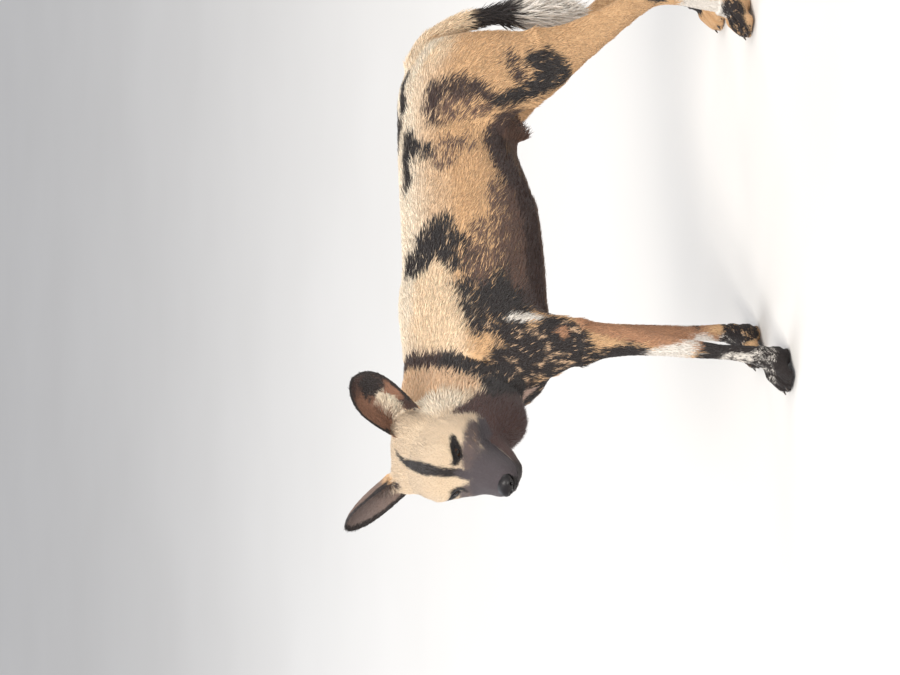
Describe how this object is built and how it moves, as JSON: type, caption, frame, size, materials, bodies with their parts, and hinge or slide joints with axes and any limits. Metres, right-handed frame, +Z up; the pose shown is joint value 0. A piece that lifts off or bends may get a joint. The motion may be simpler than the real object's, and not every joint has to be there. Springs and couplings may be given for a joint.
{
  "type": "african wild dog",
  "caption": "Life-size still model of an African wild dog, an adult male, standing on its four paws with its head turned to its left.",
  "frame": {"origin": "on the floor, under the middle of the dog's box", "axes": "+Z up, -Y the way the body faces, +X the dog's left side"},
  "size_m": [0.3086, 1.0796, 0.8303],
  "materials": {
    "coat": "short fur, tan with black, brown and white patches",
    "eye": "wet and glossy, dark brown",
    "nose": "damp black leather",
    "claw": "dull horn"
  },
  "bodies": {
    "root": {"trunk": "coat", "neck": "coat", "head": "coat", "ear_left": "coat", "ear_right": "coat", "eye_left": "eye", "eye_right": "eye", "nose": "nose", "tail": "coat", "tail_brush": "coat", "leg_front_left": "coat", "leg_front_right": "coat", "leg_hind_left": "coat", "leg_hind_right": "coat", "paw_front_left": "coat", "paw_front_right": "coat", "paw_hind_left": "coat", "paw_hind_right": "coat", "claw_front_left_1": "claw", "claw_front_left_2": "claw", "claw_front_left_3": "claw", "claw_front_left_4": "claw", "claw_front_right_1": "claw", "claw_front_right_2": "claw", "claw_front_right_3": "claw", "claw_front_right_4": "claw", "claw_hind_left_1": "claw", "claw_hind_left_2": "claw", "claw_hind_left_3": "claw", "claw_hind_left_4": "claw", "claw_hind_right_1": "claw", "claw_hind_right_2": "claw", "claw_hind_right_3": "claw", "claw_hind_right_4": "claw"}
  },
  "joints": []
}
